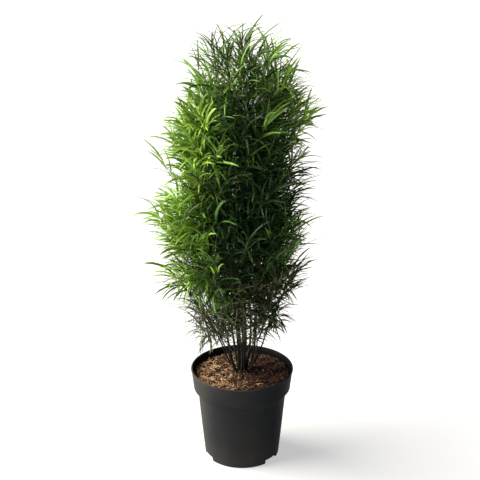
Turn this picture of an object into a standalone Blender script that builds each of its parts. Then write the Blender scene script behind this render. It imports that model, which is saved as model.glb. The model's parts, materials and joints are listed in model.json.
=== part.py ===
"""A fern-leaved alder buckthorn, grown as a narrow column in a round nursery pot.

The pot stands on the ground at z = 0 with its axis on the Z axis. A clump of stems fans out of the
potting mix. Outer stems end low in the crown, side stems end higher, and four leaders run up through
it. The crown is cut into cells, each a tier of a sector, and every cell holds one mass of foliage:
twigs and narrow leaves that branch by a seeded rule from one small stem.
"""

import math
import random

import bmesh
import bpy
from mathutils import Matrix, Vector

UP = Vector((0.0, 0.0, 1.0))
GOLDEN_TURN = math.pi * (3.0 - math.sqrt(5.0))

# Clearance between pieces that touch.
GAP = 0.0003

# Pot. Heights are above the ground and radii are outside.
POT_HEIGHT = 0.213
RIM_RADIUS = 0.115
LIP_HEIGHT = 0.004
LIP_PROUD = 0.0012
COLLAR_HEIGHT = 0.047
COLLAR_FOOT_RADIUS = 0.1088
STEP_HEIGHT = 0.006
BODY_TOP_RADIUS = 0.0992
BASE_RADIUS = 0.0840
BASE_EDGE = 0.003
POT_WALL = 0.002
POT_FLOOR = 0.003
POT_SIDES = 40

# Drainage notches in the foot of the pot.
NOTCH_COUNT = 3
NOTCH_FIRST_ANGLE = math.radians(-36.5)
NOTCH_WIDTH = 0.042
NOTCH_HEIGHT = 0.010
NOTCH_DEPTH = 0.013
DRAIN_WIDTH = 0.020
DRAIN_HEIGHT = 0.004

# Potting mix, topped with bark mulch.
MIX_LEVEL = 0.197
MIX_DOME = 0.003
MIX_RINGS = (0.046, 0.061, 0.078, 0.095)
MIX_BUMP = 0.0022

# Crown outline: height, and how far the dense foliage reaches from the crown's centre line.
CROWN_OUTLINE = (
    (0.235, 0.060),
    (0.300, 0.082),
    (0.370, 0.102),
    (0.430, 0.120),
    (0.520, 0.132),
    (0.610, 0.158),
    (0.700, 0.156),
    (0.830, 0.120),
    (0.930, 0.085),
    (1.004, 0.045),
)
CROWN_FOOT = CROWN_OUTLINE[0][0]
CROWN_TOP = CROWN_OUTLINE[-1][0]
TIP_REACH = 0.046

# Crown lean: height, and how far the centre line stands to the right of the pot's axis.
CROWN_LEAN = (
    (0.250, 0.000),
    (0.380, -0.014),
    (0.560, -0.018),
    (0.740, -0.014),
    (0.830, 0.008),
    (0.930, 0.010),
    (1.004, 0.004),
)

# A cell's upper and lower faces rise outwards by this much for each metre of radius.
CELL_RISE = 0.85
CELL_MARGIN = 0.0012

# Stems: how many, ring radius at the mix, height and ring radius at the tip, radius at foot and tip.
STEM_KINDS = {
    "leader": dict(
        count=4, turn=0.62, foot_ring=0.0078, top=0.782, top_ring=0.023, thick=0.0040, thin=0.0017,
    ),
    "side_stem": dict(
        count=5, turn=0.93, foot_ring=0.0182, top=0.392, top_ring=0.048, thick=0.0031, thin=0.0016,
    ),
    "outer_stem": dict(
        count=5, turn=1.58, foot_ring=0.0215, top=0.312, top_ring=0.070, thick=0.0023, thin=0.0013,
    ),
}
STEM_POINTS = 7
FLARE_SHARE = 1.32
FLARE_HEIGHT = 0.010
STEM_WANDER = 0.0035

# The clump stands this far behind the pot's axis.
CLUMP_BACK = 0.018

# Foliage tiers. Each has the stems that bear it and how far its cells are turned from them, its cells'
# lowest and highest face on the centre line, where on the stem a mass starts (None is at the tip), the
# levels between which its twigs fan out and what share of the cell's width they take, their least and
# most reach and that of the mass's own stem as shares of the outline, how much its leaves set out
# upwards and outwards, and how far they droop.
TIERS = {
    "skirt": dict(
        bearer="outer_stem", turn=0.0, low=-1.0, high=0.335, start=None,
        span=(0.220, 0.318), fan=0.50, reach=(0.55, 1.15), stem=(0.95, 1.12),
        lift=0.00, spread=0.55, droop=0.55,
    ),
    "lower": dict(
        bearer="side_stem", turn=0.0, low=0.335, high=0.470, start=None,
        span=(0.350, 0.452), fan=0.74, reach=(0.30, 0.85), stem=(0.38, 0.62),
        lift=0.00, spread=0.10, droop=0.38,
    ),
    "middle": dict(
        bearer="leader", turn=0.25, low=0.470, high=0.610, start=0.500,
        span=(0.484, 0.592), fan=0.74, reach=(0.28, 0.80), stem=(0.32, 0.57),
        lift=0.20, spread=0.10, droop=0.30,
    ),
    "upper": dict(
        bearer="leader", turn=-0.20, low=0.610, high=0.740, start=0.640,
        span=(0.624, 0.722), fan=0.74, reach=(0.28, 0.80), stem=(0.32, 0.57),
        lift=0.30, spread=0.10, droop=0.24,
    ),
    "top": dict(
        bearer="leader", turn=-0.45, low=0.740, high=2.0, start=None,
        span=(0.755, 0.905), fan=0.74, reach=(0.25, 0.78), stem=(0.28, 0.50),
        lift=0.50, spread=0.10, droop=0.12,
    ),
}

# Masses that stand out of the column, and by what share their twigs and leaves are longer.
LONG_MASSES = {
    "foliage_skirt_5": 1.12,
    "foliage_lower_3": 1.30,
    "foliage_lower_5": 1.15,
    "foliage_middle_3": 1.08,
    "foliage_upper_1": 1.20,
    "foliage_upper_3": 1.12,
}

# Twigs.
SIDE_TWIGS = 6
TWIG_RADIUS = 0.0019
TWIG_TIP_RADIUS = 0.0014

# Leaves. Each is longer and broader than in life and stands for a few.
SEATS = (0.26, 0.44, 0.61, 0.77, 0.92)
INNER_SEATS = (0.30, 0.55, 0.80)
LEAF_LENGTH = 0.098
LEAF_WIDTH = 0.0130
LEAF_BROADEST = 0.38
LEAF_THICKNESS = 0.0015
LEAF_ANGLE = math.radians(40.0)
LEAF_TRIES = 26
LEAF_SPACING = 0.0085
SPACING_SHARES = (0.20, 0.33, 0.46, 0.59, 0.72, 0.86, 1.0)


def remove_everything():
    for obj in list(bpy.data.objects):
        bpy.data.objects.remove(obj, do_unlink=True)
    for collection in list(bpy.data.collections):
        bpy.data.collections.remove(collection)


def new_collection(name):
    collection = bpy.data.collections.new(name)
    bpy.context.scene.collection.children.link(collection)
    return collection


def principled(name, colour, roughness):
    material = bpy.data.materials.new(name)
    material.use_nodes = True
    shader = material.node_tree.nodes["Principled BSDF"]
    shader.inputs["Base Color"].default_value = (*colour, 1.0)
    shader.inputs["Roughness"].default_value = roughness
    shader.inputs["Metallic"].default_value = 0.0
    return material


def make_materials():
    return {
        "pot": principled("pot_plastic", (0.028, 0.030, 0.032), 0.50),
        "mix": principled("bark_mulch", (0.260, 0.140, 0.070), 0.90),
        "bark": principled("stem_bark", (0.085, 0.062, 0.050), 0.80),
        "foliage": principled("foliage_green", (0.110, 0.240, 0.035), 0.50),
    }


def add_object(name, data, collection, material=None):
    obj = bpy.data.objects.new(name, data)
    collection.objects.link(obj)
    if material is not None:
        data.materials.append(material)
    return obj


def make_helper(obj):
    """A cutter or guide: it shapes other objects and isn't part of the plant."""
    obj.hide_render = True
    obj.display_type = "WIRE"


def plain_mesh(obj):
    """The object's evaluated mesh, with the caps of a curve welded to its sides."""
    graph = bpy.context.evaluated_depsgraph_get()
    mesh = bpy.data.meshes.new_from_object(obj.evaluated_get(graph), depsgraph=graph)
    shape = bmesh.new()
    shape.from_mesh(mesh)
    bmesh.ops.remove_doubles(shape, verts=shape.verts, dist=1e-6)
    bmesh.ops.recalc_face_normals(shape, faces=shape.faces)
    shape.to_mesh(mesh)
    shape.free()
    return mesh


def discard(obj):
    data = obj.data
    bpy.data.objects.remove(obj, do_unlink=True)
    if isinstance(data, bpy.types.Mesh):
        bpy.data.meshes.remove(data)
    else:
        bpy.data.curves.remove(data)


def turned(name, profile, collection, material=None):
    """A solid turned about the Z axis. The profile is (radius, height) down the outer side."""
    mesh = bpy.data.meshes.new(name)
    corners = [(radius, 0.0, height) for radius, height in profile]
    edges = [(i, i + 1) for i in range(len(corners) - 1)]
    mesh.from_pydata(corners, edges, [])
    obj = add_object(name, mesh, collection, material)
    screw = obj.modifiers.new("turn", "SCREW")
    screw.axis = "Z"
    screw.angle = math.tau
    screw.steps = POT_SIDES
    screw.render_steps = POT_SIDES
    screw.use_merge_vertices = True
    screw.merge_threshold = 0.00001
    return obj


def cut(obj, operand, name):
    """Subtracts an object, or every object of a collection."""
    boolean = obj.modifiers.new(name, "BOOLEAN")
    boolean.operation = "DIFFERENCE"
    boolean.solver = "EXACT"
    if isinstance(operand, bpy.types.Collection):
        boolean.operand_type = "COLLECTION"
        boolean.collection = operand
    else:
        boolean.object = operand


def ring_of_boxes(name, collection, inner, outer, width, low, high):
    """A box at each drainage notch, from one radius to another and between two heights."""
    for k in range(NOTCH_COUNT):
        shape = bmesh.new()
        bmesh.ops.create_cube(shape, size=1.0)
        bmesh.ops.scale(shape, vec=(outer - inner, width, high - low), verts=shape.verts)
        bmesh.ops.translate(shape, vec=((inner + outer) / 2, 0.0, (low + high) / 2), verts=shape.verts)
        mesh = bpy.data.meshes.new(f"{name}_{k + 1}")
        shape.to_mesh(mesh)
        shape.free()
        box = add_object(mesh.name, mesh, collection)
        box.rotation_euler.z = NOTCH_FIRST_ANGLE + k * math.tau / NOTCH_COUNT
        make_helper(box)


def pot_outside():
    collar_foot = POT_HEIGHT - COLLAR_HEIGHT
    return [
        (0.0, POT_HEIGHT),
        (RIM_RADIUS - LIP_PROUD / 2, POT_HEIGHT),
        (RIM_RADIUS, POT_HEIGHT - LIP_HEIGHT / 4),
        (RIM_RADIUS, POT_HEIGHT - LIP_HEIGHT * 3 / 4),
        (RIM_RADIUS - LIP_PROUD, POT_HEIGHT - LIP_HEIGHT),
        (COLLAR_FOOT_RADIUS, collar_foot + STEP_HEIGHT / 4),
        (COLLAR_FOOT_RADIUS - STEP_HEIGHT / 4, collar_foot),
        (BODY_TOP_RADIUS, collar_foot - STEP_HEIGHT),
        (BASE_RADIUS, BASE_EDGE),
        (BASE_RADIUS - BASE_EDGE, 0.0),
        (0.0, 0.0),
    ]


def pot_inside(clearance, top):
    """The profile of the pot's inner wall, moved in by a clearance and closed at the height of top."""
    collar_foot = POT_HEIGHT - COLLAR_HEIGHT
    wall = POT_WALL + clearance
    collar_slope = (RIM_RADIUS - LIP_PROUD - COLLAR_FOOT_RADIUS) / COLLAR_HEIGHT
    top_radius = COLLAR_FOOT_RADIUS + (top - collar_foot) * collar_slope - wall
    return [
        (top_radius, top),
        (COLLAR_FOOT_RADIUS - wall, collar_foot + wall),
        (BODY_TOP_RADIUS - wall, collar_foot - STEP_HEIGHT + wall / 2),
        (BASE_RADIUS - wall, POT_FLOOR + clearance),
        (0.0, POT_FLOOR + clearance),
    ]


def make_pot(parts, cutters, material):
    pot = turned("pot", pot_outside(), parts, material)
    above = POT_HEIGHT + 0.01
    cavity = turned("pot_cavity", [(0.0, above), *pot_inside(0.0, above)], cutters)
    make_helper(cavity)
    outer = BASE_RADIUS + 0.01
    inner = BASE_RADIUS - NOTCH_DEPTH

    linings = new_collection("notch_linings")
    lined_width = NOTCH_WIDTH + 2 * POT_WALL
    ring_of_boxes("lining", linings, inner - POT_WALL, outer, lined_width, -0.01, NOTCH_HEIGHT + POT_WALL)
    cut(cavity, linings, "keep notch walls")

    notches = new_collection("notches")
    ring_of_boxes("notch", notches, inner, outer, NOTCH_WIDTH, -0.01, NOTCH_HEIGHT)
    drains = new_collection("drains")
    low = (POT_FLOOR + NOTCH_HEIGHT - DRAIN_HEIGHT) / 2
    ring_of_boxes("drain", drains, inner - 2.5 * POT_WALL, outer, DRAIN_WIDTH, low, low + DRAIN_HEIGHT)
    cut(pot, cavity, "hollow")
    cut(pot, notches, "notches")
    cut(pot, drains, "drains")
    return pot


def mix_height(x, y):
    """Height of the mulch: level under the stems, lightly heaped round them, and lower at the wall."""
    radius = math.hypot(x, y)
    heaped = MIX_RINGS[0] + GAP < radius < MIX_RINGS[-1] + GAP
    waves = math.sin(x * 95.0 + 1.3) * math.cos(y * 80.0 - 0.4) + 0.6 * math.sin((x - y) * 140.0)
    dome = max(0.0, radius - MIX_RINGS[0]) / (RIM_RADIUS - MIX_RINGS[0])
    return MIX_LEVEL - MIX_DOME * dome**2 + (MIX_BUMP * waves if heaped else 0.0)


def make_mix(parts, cutters, material):
    """The potting mix fills the pot to below its rim and keeps clear of the wall and the notches."""
    profile = [(0.0, MIX_LEVEL)]
    profile += [(radius, MIX_LEVEL) for radius in MIX_RINGS]
    profile += pot_inside(GAP * 2, MIX_LEVEL)
    turned_mix = turned("potting_mix_turned", profile, cutters)
    mesh = plain_mesh(turned_mix)
    discard(turned_mix)
    for vertex in mesh.vertices:
        if vertex.co.z > MIX_LEVEL - GAP:
            vertex.co.z = mix_height(vertex.co.x, vertex.co.y)
    mesh.name = "potting_mix"
    mix = add_object("potting_mix", mesh, parts, material)
    clearances = new_collection("notch_clearances")
    lining = POT_WALL + 2 * GAP
    ring_of_boxes(
        "notch_clearance",
        clearances,
        BASE_RADIUS - NOTCH_DEPTH - lining,
        BASE_RADIUS + 0.01,
        NOTCH_WIDTH + 2 * lining,
        -0.01,
        NOTCH_HEIGHT + lining,
    )
    cut(mix, clearances, "clear of notches")
    return mix


def read_off(line, height):
    """The value at a height of a line of (height, value) points, which is level beyond its ends."""
    if height <= line[0][0]:
        return line[0][1]
    for (low, first), (high, second) in zip(line, line[1:]):
        if height <= high:
            return first + (second - first) * (height - low) / (high - low)
    return line[-1][1]


def crown_centre(height):
    """The crown's centre line leans to the left in its middle and to the right at its top."""
    return read_off(CROWN_LEAN, height)


def crown_radius(height):
    """Radius of the dense foliage at a height."""
    return read_off(CROWN_OUTLINE, height)


def from_centre(point):
    """The horizontal arm from the crown's centre line to a point."""
    return Vector((point.x - crown_centre(point.z), point.y, 0.0))


class Limb:
    """One stem: its centre line, its radius at each point, and what a twig needs to keep clear of it."""

    def __init__(self, name, angle, points, radii):
        self.name = name
        self.angle = angle
        self.points = points
        self.radii = radii

    def at_height(self, height):
        """The point, direction and radius where the stem passes a height."""
        for k in range(len(self.points) - 1):
            low, high = self.points[k], self.points[k + 1]
            if low.z <= height <= high.z:
                share = (height - low.z) / (high.z - low.z)
                radius = self.radii[k] + (self.radii[k + 1] - self.radii[k]) * share
                return low.lerp(high, share), (high - low).normalized(), radius
        raise ValueError(f"{self.name} doesn't reach {height}")

    def clearance(self, point):
        """Distance from a point to the stem's surface, or 1 well above its tip."""
        nearest = 1.0
        if point.z > self.points[-1].z + 0.03:
            return nearest
        for k in range(len(self.points) - 1):
            low, high = self.points[k], self.points[k + 1]
            run = high - low
            share = min(1.0, max(0.0, (point - low).dot(run) / run.length_squared))
            radius = self.radii[k] + (self.radii[k + 1] - self.radii[k]) * share
            nearest = min(nearest, (low + run * share - point).length - radius)
        return nearest


def plan_limb(kind, index, sizes, rng):
    """A stem rises upright from the mix and then fans out, with a slight wander."""
    angle = sizes["turn"] + index * math.tau / sizes["count"]
    foot_height = MIX_LEVEL + GAP
    top = sizes["top"] + rng.uniform(-0.012, 0.012)
    phase = rng.uniform(0.0, math.tau)
    points = []
    radii = []
    for k in range(STEM_POINTS):
        share = k / (STEM_POINTS - 1)
        ring = sizes["foot_ring"] + (sizes["top_ring"] - sizes["foot_ring"]) * share ** 1.05
        height = foot_height + (top - foot_height) * share ** 1.15
        wander = STEM_WANDER * share * math.sin(phase + 4.0 * share)
        x = ring * math.cos(angle) - wander * math.sin(angle) + crown_centre(height) * share
        y = ring * math.sin(angle) + wander * math.cos(angle) + CLUMP_BACK * (1.0 - share)
        points.append(Vector((x, y, height)))
        radii.append(sizes["thick"] + (sizes["thin"] - sizes["thick"]) * share)
    foot = points[0]
    flare_top = Vector((foot.x, foot.y, foot_height + FLARE_HEIGHT)).lerp(points[1], 0.07)
    points.insert(1, flare_top)
    radii.insert(1, radii[0] * 0.99)
    radii[0] *= FLARE_SHARE
    return Limb(f"{kind}_{index + 1}", angle, points, radii)


def plan_limbs(rng):
    return {
        kind: [plan_limb(kind, index, sizes, rng) for index in range(sizes["count"])]
        for kind, sizes in STEM_KINDS.items()
    }


def curve_data(name, points, radii):
    """A tapering tube on straight runs between points. A point's radius is in metres."""
    data = bpy.data.curves.new(name, "CURVE")
    data.dimensions = "3D"
    data.bevel_depth = 1.0
    data.bevel_resolution = 1
    data.use_fill_caps = True
    spline = data.splines.new("POLY")
    spline.points.add(len(points) - 1)
    for spline_point, point, radius in zip(spline.points, points, radii):
        spline_point.co = (*point, 1.0)
        spline_point.radius = radius
    return data


def make_limb(limb, parts, material):
    return add_object(limb.name, curve_data(limb.name, limb.points, limb.radii), parts, material)


class Cell:
    """The space of one mass: a sector between two cones that rise outwards round the centre line."""

    def __init__(self, name, tier, angle, half_angle, stretch):
        self.name = name
        self.low = tier["low"]
        self.high = tier["high"]
        self.angle = angle
        self.half_angle = half_angle
        self.outward = Vector((math.cos(angle), math.sin(angle), 0.0))
        self.stretch = stretch

    def holds(self, point, margin):
        arm = from_centre(point)
        radius = arm.length
        level = point.z - CELL_RISE * radius
        if not self.low + margin < level < self.high - margin:
            return False
        turn = math.remainder(math.atan2(arm.y, arm.x) - self.angle, math.tau)
        if radius * math.sin(self.half_angle - abs(turn)) < margin:
            return False
        reach = crown_radius(point.z) + TIP_REACH * self.stretch ** 2
        return radius < reach and CROWN_FOOT < point.z < CROWN_TOP


def rotated(vector, axis, angle):
    return Matrix.Rotation(angle, 3, axis) @ vector


def fits(points, widths, cell, limbs):
    """True if straight runs between points, each as wide as its share, stay in the cell and off stems."""
    for k in range(len(points) - 1):
        for share in (0.0, 0.5, 1.0):
            point = points[k].lerp(points[k + 1], share)
            width = widths[k] + (widths[k + 1] - widths[k]) * share
            if not cell.holds(point, CELL_MARGIN + width):
                return False
            if any(limb.clearance(point) < 2 * GAP + width for limb in limbs):
                return False
    return True


def triangle_profile(collection):
    """The three-sided outline that twigs are drawn along."""
    data = bpy.data.curves.new("twig_profile", "CURVE")
    data.dimensions = "2D"
    spline = data.splines.new("POLY")
    spline.points.add(2)
    for k, point in enumerate(spline.points):
        angle = k * math.tau / 3
        point.co = (math.cos(angle), math.sin(angle), 0.0, 1.0)
    spline.use_cyclic_u = True
    profile = add_object("twig_profile", data, collection)
    make_helper(profile)
    return profile


def make_stem(name, points, thick, profile, collection):
    """The mass's own stem: a three-sided tube."""
    radii = [thick + (TWIG_TIP_RADIUS - thick) * k / (len(points) - 1) for k in range(len(points))]
    data = curve_data(name, points, radii)
    data.bevel_mode = "OBJECT"
    data.bevel_object = profile
    drawn = add_object(name + "_curve", data, collection)
    mesh = plain_mesh(drawn)
    discard(drawn)
    return add_object(name, mesh, collection)


def make_twig(name, line, collection):
    """A side twig: three-sided, and tapered from its root in the mass's stem to a point."""
    base, tip = line
    along = (tip - base).normalized()
    side = along.orthogonal().normalized() * TWIG_RADIUS
    shape = bmesh.new()
    ring = [shape.verts.new(base + rotated(side, along, k * math.tau / 3)) for k in range(3)]
    point = shape.verts.new(tip)
    shape.faces.new(ring)
    for k in range(3):
        shape.faces.new((ring[k], ring[(k + 1) % 3], point))
    bmesh.ops.recalc_face_normals(shape, faces=shape.faces)
    mesh = bpy.data.meshes.new(name)
    shape.to_mesh(mesh)
    shape.free()
    return add_object(name, mesh, collection)


def leaf_points(root, heading, outward, droop, length):
    """Root, broadest point and tip of a leaf that sets out along heading and arches outwards and down."""
    bend = outward * 0.28 - UP * droop
    middle = root + (heading + bend * LEAF_BROADEST) * (length * LEAF_BROADEST)
    tip = root + (heading + bend) * length
    return root, middle, tip


def make_leaf(name, points, roll, collection):
    """A thin three-sided blade that tapers both ways: its root is sunk to the middle of its twig."""
    root, middle, tip = points
    first = (middle - root).normalized()
    last = (tip - middle).normalized()
    side = rotated(first.cross(UP).normalized(), first, roll)
    under = side.cross((first + last).normalized())
    shape = bmesh.new()
    half = side * LEAF_WIDTH / 2
    corners = (middle + half, middle - half, middle + under * LEAF_THICKNESS)
    ring = [shape.verts.new(corner) for corner in corners]
    ends = [shape.verts.new(root), shape.verts.new(tip)]
    for k in range(3):
        for end in ends:
            shape.faces.new((ring[k], ring[(k + 1) % 3], end))
    bmesh.ops.recalc_face_normals(shape, faces=shape.faces)
    mesh = bpy.data.meshes.new(name)
    shape.to_mesh(mesh)
    shape.free()
    return add_object(name, mesh, collection)


def mass_start(tier, limb, cell):
    """Where a mass's own stem begins and how it sets out: on from a tip, or square off a stem's side."""
    if tier["start"] is None:
        tip = limb.points[-1]
        along = (tip - limb.points[-2]).normalized()
        return tip + along * GAP, along, min(TWIG_RADIUS, limb.radii[-1])
    point, along, radius = limb.at_height(tier["start"])
    square = (cell.outward - along * cell.outward.dot(along)).normalized()
    return point + square * (radius + GAP), square, TWIG_RADIUS


def fan_point(tier, cell, rise, side, depth):
    """A point in a cell by how far it is up the span, round to one side and out towards the outline."""
    low, high = tier["span"]
    level = low + (high - low) * rise
    radius = 0.06
    for _ in range(4):
        height = level + CELL_RISE * radius
        radius = depth * crown_radius(height)
    angle = cell.angle + cell.half_angle * tier["fan"] * side
    x = radius * math.cos(angle) + crown_centre(height)
    return Vector((x, radius * math.sin(angle), height))


def point_along(points, share):
    """The point at a share of a line's length."""
    lengths = [(second - first).length for first, second in zip(points, points[1:])]
    left = share * sum(lengths)
    for first, second, length in zip(points, points[1:], lengths):
        if left <= length:
            return first.lerp(second, left / length)
        left -= length
    return points[-1].copy()


def plan_twigs(tier, limb, cell, limbs, rng):
    """The mass's own stem climbs through its cell, and side twigs fan out from it to fill the cell."""
    start, heading, thick = mass_start(tier, limb, cell)
    shallow, deep = tier["reach"]
    middle, end = tier["stem"]
    stem = [start, start + heading * 0.008]
    stem.append(fan_point(tier, cell, 0.42, 0.0, middle))
    stem.append(fan_point(tier, cell, 0.88, 0.0, end))
    twigs = []
    for k in range(SIDE_TWIGS):
        rise = (k + 0.5) / SIDE_TWIGS
        side = 2.0 * math.fmod(0.31 + k * 0.618, 1.0) - 1.0 + rng.uniform(-0.12, 0.12)
        depth = shallow + (deep - shallow) * math.fmod(0.62 + k * 0.755, 1.0)
        goal = fan_point(tier, cell, rise, side, depth * cell.stretch)
        base = point_along(stem, 0.22 + 0.68 * rise)
        for _ in range(8):
            line = (base, goal)
            if fits((base.lerp(goal, 0.3), goal), (TWIG_RADIUS, 0.0), cell, limbs):
                twigs.append(line)
                break
            goal = base.lerp(goal, 0.86)
    return stem, thick, twigs


def spread_points(points):
    """Points along a leaf beyond its root, by which it keeps its distance from other leaves."""
    root, middle, tip = points
    found = []
    for share in SPACING_SHARES:
        if share < LEAF_BROADEST:
            found.append(root.lerp(middle, share / LEAF_BROADEST))
        else:
            found.append(middle.lerp(tip, (share - LEAF_BROADEST) / (1.0 - LEAF_BROADEST)))
    return found


def plan_leaves(tier, stem, twigs, cell, limbs, rng):
    """Leaves along every twig. One that would leave the cell, touch a stem or cross another is skipped."""
    leaves = []
    lines = [stem[2:], *twigs, stem[1:3]]
    taken = [point_along(line, share / 5) for line in lines for share in (1, 2, 3, 4)]
    turn = 0
    for line in lines:
        along = (line[-1] - line[0]).normalized()
        for share in (INNER_SEATS if line is lines[-1] else SEATS):
            turn += 1
            base = line[0].lerp(line[-1], share)
            leaf = grow_leaf(turn, base, along, share, tier, cell, limbs, taken, rng)
            if leaf is not None:
                leaves.append(leaf)
                taken.extend(spread_points(leaf[0]))
    return leaves


def grow_leaf(turn, base, along, share, tier, cell, limbs, taken, rng):
    """One leaf, turned by the golden angle from the last and tried at further turns until it is clear."""
    outward = from_centre(base).normalized()
    for attempt in range(LEAF_TRIES):
        spin = (turn + attempt) * GOLDEN_TURN + rng.uniform(-0.4, 0.4)
        square = rotated(along.orthogonal().normalized(), along, spin)
        angle = LEAF_ANGLE * (1.3 - 0.9 * share) * rng.uniform(0.8, 1.3)
        heading = along * math.cos(angle) + square * math.sin(angle)
        heading += outward * (tier["spread"] + rng.uniform(-0.3, 0.3)) + UP * tier["lift"]
        heading.normalize()
        length = LEAF_LENGTH * cell.stretch * rng.uniform(0.85, 1.1) * (1.0 - 0.028 * attempt)
        droop = tier["droop"] * rng.uniform(0.5, 1.3)
        points = leaf_points(base, heading, outward, droop, length)
        if not fits(points, (0.0, LEAF_WIDTH / 2, 0.0), cell, limbs):
            continue
        near = ((point - other).length < LEAF_SPACING for point in spread_points(points) for other in taken)
        if not any(near):
            return points, rng.uniform(-0.5, 0.5)
    return None


def islands(shape):
    """The connected groups of faces, each with the volume that it encloses."""
    left = set(shape.faces)
    found = []
    while left:
        seed = left.pop()
        group = {seed}
        waiting = [seed]
        while waiting:
            for edge in waiting.pop().edges:
                for face in edge.link_faces:
                    if face in left:
                        left.remove(face)
                        group.add(face)
                        waiting.append(face)
        volume = 0.0
        for face in group:
            corners = [vert.co for vert in face.verts]
            for second, third in zip(corners[1:], corners[2:]):
                volume += corners[0].dot(second.cross(third)) / 6.0
        found.append((volume, group))
    return found


def keep_largest(mesh):
    """Drops loose scraps and the inner walls of sealed hollows, which leaves one closed body."""
    shape = bmesh.new()
    shape.from_mesh(mesh)
    bmesh.ops.triangulate(shape, faces=shape.faces)
    groups = sorted(islands(shape), key=lambda entry: entry[0])
    for _, group in groups[:-1]:
        bmesh.ops.delete(shape, geom=list(group), context="FACES")
    loose = [vert for vert in shape.verts if not vert.link_faces]
    bmesh.ops.delete(shape, geom=loose, context="VERTS")
    shape.to_mesh(mesh)
    shape.free()


def join(name, base, pieces):
    """One Boolean union of a collection's pieces onto the base, applied."""
    union = base.modifiers.new("join", "BOOLEAN")
    union.operation = "UNION"
    union.operand_type = "COLLECTION"
    union.collection = pieces
    union.solver = "EXACT"
    graph = bpy.context.evaluated_depsgraph_get()
    mesh = bpy.data.meshes.new_from_object(base.evaluated_get(graph), depsgraph=graph)
    mesh.name = name
    keep_largest(mesh)
    return mesh


def make_mass(name, tier, limb, cell, limbs, profile, parts, material, rng):
    """One mass of foliage: its stem, twigs and leaves, joined into one closed body."""
    pieces = new_collection(name + "_pieces")
    scratch = new_collection(name + "_base")
    stem, thick, twigs = plan_twigs(tier, limb, cell, limbs, rng)
    base = make_stem(f"{name}_stem", stem, thick, profile, scratch)
    for k, line in enumerate(twigs):
        make_twig(f"{name}_twig_{k}", line, pieces)
    for k, (points, roll) in enumerate(plan_leaves(tier, stem, twigs, cell, limbs, rng)):
        make_leaf(f"{name}_leaf_{k}", points, roll, pieces)
    mesh = join(name, base, pieces)
    for collection in (pieces, scratch):
        for obj in list(collection.objects):
            discard(obj)
        bpy.data.collections.remove(collection)
    mesh.materials.clear()
    return add_object(name, mesh, parts, material)


def make_crown(limbs_by_kind, profile, parts, material):
    every_limb = [limb for limbs in limbs_by_kind.values() for limb in limbs]
    for tier_name, tier in TIERS.items():
        bearers = limbs_by_kind[tier["bearer"]]
        for index, limb in enumerate(bearers):
            name = f"foliage_{tier_name}_{index + 1}"
            rng = random.Random(name)
            angle = limb.angle + tier["turn"]
            cell = Cell(name, tier, angle, math.pi / len(bearers), LONG_MASSES.get(name, 1.0))
            make_mass(name, tier, limb, cell, every_limb, profile, parts, material, rng)


def main():
    remove_everything()
    parts = new_collection("potted_alder_buckthorn")
    cutters = new_collection("cutters")
    materials = make_materials()
    limbs_by_kind = plan_limbs(random.Random(7))
    profile = triangle_profile(cutters)
    make_crown(limbs_by_kind, profile, parts, materials["foliage"])
    for limbs in limbs_by_kind.values():
        for limb in limbs:
            make_limb(limb, parts, materials["bark"])
    make_mix(parts, cutters, materials["mix"])
    make_pot(parts, cutters, materials["pot"])


main()
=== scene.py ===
# Fern-leaved alder buckthorn in a round nursery pot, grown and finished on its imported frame.
import json
import math
import random

import bmesh
import bpy
from mathutils import Matrix, Quaternion, Vector, noise

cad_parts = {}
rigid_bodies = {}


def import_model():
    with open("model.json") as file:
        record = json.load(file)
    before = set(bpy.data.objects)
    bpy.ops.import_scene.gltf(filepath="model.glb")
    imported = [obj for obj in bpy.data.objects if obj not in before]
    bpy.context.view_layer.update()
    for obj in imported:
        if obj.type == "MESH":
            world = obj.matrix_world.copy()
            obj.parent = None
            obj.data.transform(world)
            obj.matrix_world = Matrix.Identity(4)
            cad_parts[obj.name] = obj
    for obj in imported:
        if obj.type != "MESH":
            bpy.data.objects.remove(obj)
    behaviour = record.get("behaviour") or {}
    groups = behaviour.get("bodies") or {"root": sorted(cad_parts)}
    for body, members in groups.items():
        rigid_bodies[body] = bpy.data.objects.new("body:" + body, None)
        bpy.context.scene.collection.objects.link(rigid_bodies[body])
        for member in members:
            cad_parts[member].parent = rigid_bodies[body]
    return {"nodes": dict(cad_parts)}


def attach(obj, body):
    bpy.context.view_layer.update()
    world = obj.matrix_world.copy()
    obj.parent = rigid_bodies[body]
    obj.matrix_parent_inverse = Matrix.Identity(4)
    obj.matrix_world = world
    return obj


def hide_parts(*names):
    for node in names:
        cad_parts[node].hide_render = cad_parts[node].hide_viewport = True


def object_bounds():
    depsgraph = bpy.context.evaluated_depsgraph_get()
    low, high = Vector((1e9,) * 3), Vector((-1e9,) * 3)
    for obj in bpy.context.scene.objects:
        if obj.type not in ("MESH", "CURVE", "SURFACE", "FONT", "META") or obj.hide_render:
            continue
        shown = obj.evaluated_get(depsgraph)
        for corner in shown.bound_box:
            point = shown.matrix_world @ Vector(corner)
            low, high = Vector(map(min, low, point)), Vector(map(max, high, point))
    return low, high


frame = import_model()
cadLow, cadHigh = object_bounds()
up = Vector((0.0, 0.0, 1.0))
goldenTurn = math.pi * (3.0 - math.sqrt(5.0))
print("frame loaded:", len(frame["nodes"]), "nodes")


# Materials: a reading is one socket's value, and arithmetic on readings adds Math nodes.
class Reading:
    def __init__(self, finish, socket):
        self.finish = finish
        self.socket = socket

    def __add__(self, other):
        return self.finish.calc("ADD", self, other)

    def __radd__(self, other):
        return self.finish.calc("ADD", other, self)

    def __sub__(self, other):
        return self.finish.calc("SUBTRACT", self, other)

    def __rsub__(self, other):
        return self.finish.calc("SUBTRACT", other, self)

    def __mul__(self, other):
        return self.finish.calc("MULTIPLY", self, other)

    def __pow__(self, other):
        return self.finish.calc("POWER", self, other)


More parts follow.
